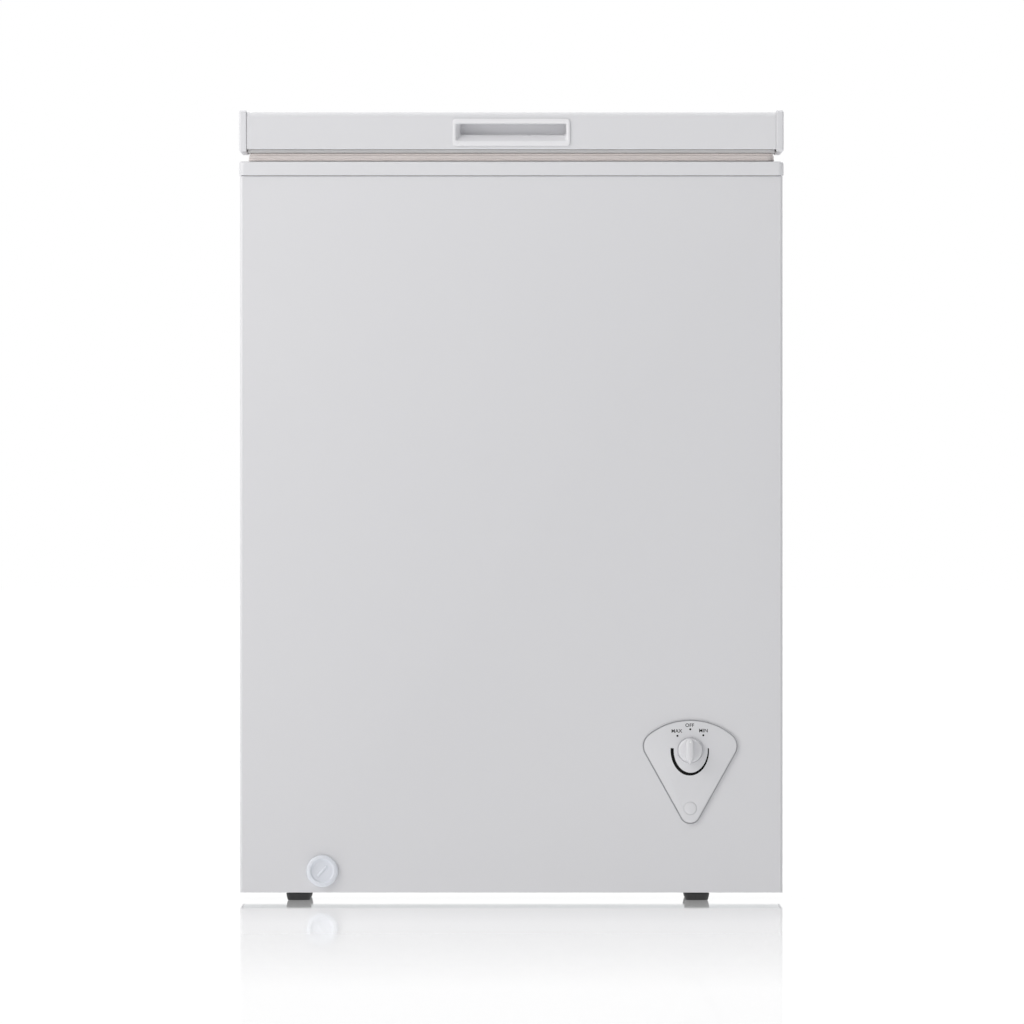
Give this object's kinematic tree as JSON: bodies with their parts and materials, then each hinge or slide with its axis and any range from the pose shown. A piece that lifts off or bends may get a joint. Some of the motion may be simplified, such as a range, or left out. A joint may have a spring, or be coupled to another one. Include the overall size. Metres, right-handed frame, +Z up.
{
  "type": "chest freezer",
  "caption": "Small upright-proportioned white chest freezer with a hinged top lid, recessed grip, thermostat dial and low drain outlet.",
  "frame": {"origin": "on the floor under the middle of the freezer", "axes": "+Z up, +X to the right as seen from the front, the front faces -Y"},
  "size_m": [0.586, 0.558, 0.85],
  "materials": {
    "white_paint": "satin",
    "white_plastic": "satin",
    "gasket_vinyl": "matte",
    "foam": "matte",
    "liner_sheet": "satin",
    "zinc": "satin",
    "copper": "satin",
    "black_paint": "satin",
    "black_rubber": "matte",
    "black_plastic": "matte",
    "drain_plastic": "satin",
    "basket_wire": "satin"
  },
  "bodies": {
    "cabinet": {"cabinet_wrapper": "white_paint", "rear_panel": "white_paint", "rear_access_cover": "zinc", "cover_screw_1": "zinc", "cover_screw_2": "zinc", "cover_screw_3": "zinc", "cover_screw_4": "zinc", "cord_gland": "black_plastic", "base_pan": "zinc", "foot_front_left": "black_rubber", "foot_front_right": "black_rubber", "foot_rear_left": "black_rubber", "foot_rear_right": "black_rubber", "rim_trim": "white_plastic", "inner_liner": "liner_sheet", "insulation_foam": "foam", "vent_grille": "white_plastic", "evaporator_coil": "copper", "condenser_coil": "copper", "compressor": "black_paint", "compressor_mount_plate": "zinc", "compressor_grommet_1": "black_rubber", "compressor_grommet_2": "black_rubber", "compressor_grommet_3": "black_rubber", "compressor_grommet_4": "black_rubber", "terminal_cover": "black_plastic", "filter_drier": "copper", "discharge_pipe": "copper", "suction_pipe": "copper", "control_escutcheon": "white_plastic", "escutcheon_screw": "zinc", "escutcheon_screw_cap": "white_plastic", "control_box": "white_plastic", "thermostat_body": "zinc", "sensor_tube": "copper", "drain_tube": "drain_plastic", "hinge_bracket_left": "zinc", "hinge_bracket_right": "zinc", "hinge_pin_left": "zinc", "hinge_pin_right": "zinc", "hinge_spring_left": "zinc", "hinge_spring_right": "zinc"},
    "lid": {"lid_skin": "white_paint", "lid_end_cap_left": "white_plastic", "lid_end_cap_right": "white_plastic", "lid_foam": "foam", "lid_inner_panel": "white_plastic", "lid_gasket": "gasket_vinyl", "handle_cup": "white_plastic", "hinge_leaf_left": "zinc", "hinge_leaf_right": "zinc"},
    "knob": {"control_knob": "white_plastic", "thermostat_shaft": "zinc"},
    "basket": {"storage_basket": "basket_wire"},
    "drain_cap": {"drain_outlet_cap": "drain_plastic"},
    "drain_plug": {"drain_inner_plug": "drain_plastic"}
  },
  "joints": [
    {"name": "lid_hinge", "type": "hinge", "parent": "cabinet", "child": "lid", "pos_m": [0, 0.264, 0.7995], "axis": [-1, 0, 0], "range_deg": [0, 80]},
    {"name": "knob_turn", "type": "hinge", "parent": "cabinet", "child": "knob", "pos_m": [0.1925, -0.27, 0.1615], "axis": [0, 1, 0], "range_deg": [0, 308]},
    {"name": "basket_slide", "type": "slide", "parent": "cabinet", "child": "basket", "axis": [-1, 0, 0], "range_m": [0, 0.225]},
    {"name": "drain_cap_pull", "type": "slide", "parent": "cabinet", "child": "drain_cap", "axis": [0, -1, 0], "range_m": [0, 0.03]},
    {"name": "drain_plug_lift", "type": "slide", "parent": "cabinet", "child": "drain_plug", "axis": [0, 0, 1], "range_m": [0, 0.03]}
  ]
}
